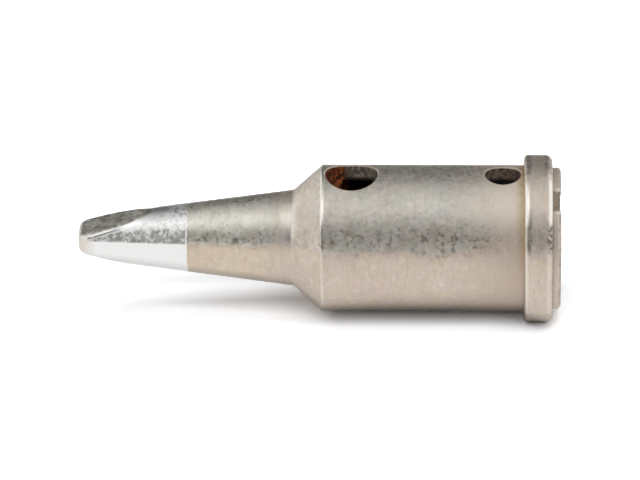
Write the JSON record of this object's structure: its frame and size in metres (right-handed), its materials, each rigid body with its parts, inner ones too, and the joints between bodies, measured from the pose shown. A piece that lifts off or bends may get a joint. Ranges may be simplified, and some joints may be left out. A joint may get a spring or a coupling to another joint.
{
  "type": "soldering iron tip",
  "caption": "Soldering iron tip for a gas iron: double-flat tinned bit on a tapered shank, bored barrel with side gas ports, retaining flange and keyed spigot.",
  "frame": {"origin": "centre of the rear face, on the tip's axis; the tip stands on this face", "axes": "+Z along the tip's axis from the rear rim to the bit; -Y is the side that both gas ports open to, and the bit's two flats face -Y and +Y"},
  "size_m": [0.013, 0.013, 0.0376],
  "materials": {
    "plated_copper": "satin, cloudy nickel plating with fine dark specks; the bit tinned bright",
    "catalyst_felt": "matt fibre, darkened by use"
  },
  "bodies": {
    "root": {"tip_body": "plated_copper", "catalyst_sleeve": "catalyst_felt"}
  },
  "joints": []
}
